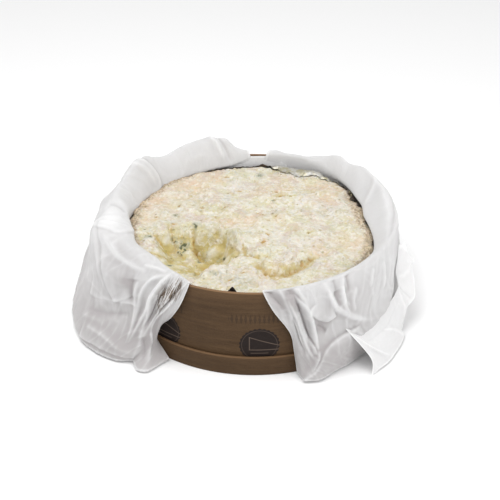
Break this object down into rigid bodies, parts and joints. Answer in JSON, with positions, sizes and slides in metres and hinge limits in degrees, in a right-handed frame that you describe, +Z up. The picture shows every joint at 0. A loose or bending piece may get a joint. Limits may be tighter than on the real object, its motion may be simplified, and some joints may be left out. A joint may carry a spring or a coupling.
{
  "type": "boxed soft blue cheese",
  "caption": "Round of soft blue cheese with a scooped hollow, wrapped in foil inside a thin bentwood box whose muslin lining hangs over the rim at both sides.",
  "frame": {"origin": "middle of the underside of the box's base disc", "axes": "+Z up, -Y the front, where the box shows between the two ends of the cloth"},
  "size_m": [0.3839, 0.3259, 0.124],
  "materials": {
    "cheese": "soft moist cheese, cream with pink, grey-green and blue mottling, slightly glossy",
    "foil": "thin crumpled foil, dull",
    "muslin": "thin plain-woven white muslin, slightly see-through",
    "wood": "thin bent veneer, dark tan, bare, fine grain round the hoop"
  },
  "bodies": {
    "root": {"cheese": "cheese", "foil_wrap": "foil", "cloth_left": "muslin", "cloth_right": "muslin", "box_wall": "wood", "foot_hoop": "wood", "base_disc": "wood"}
  },
  "joints": []
}
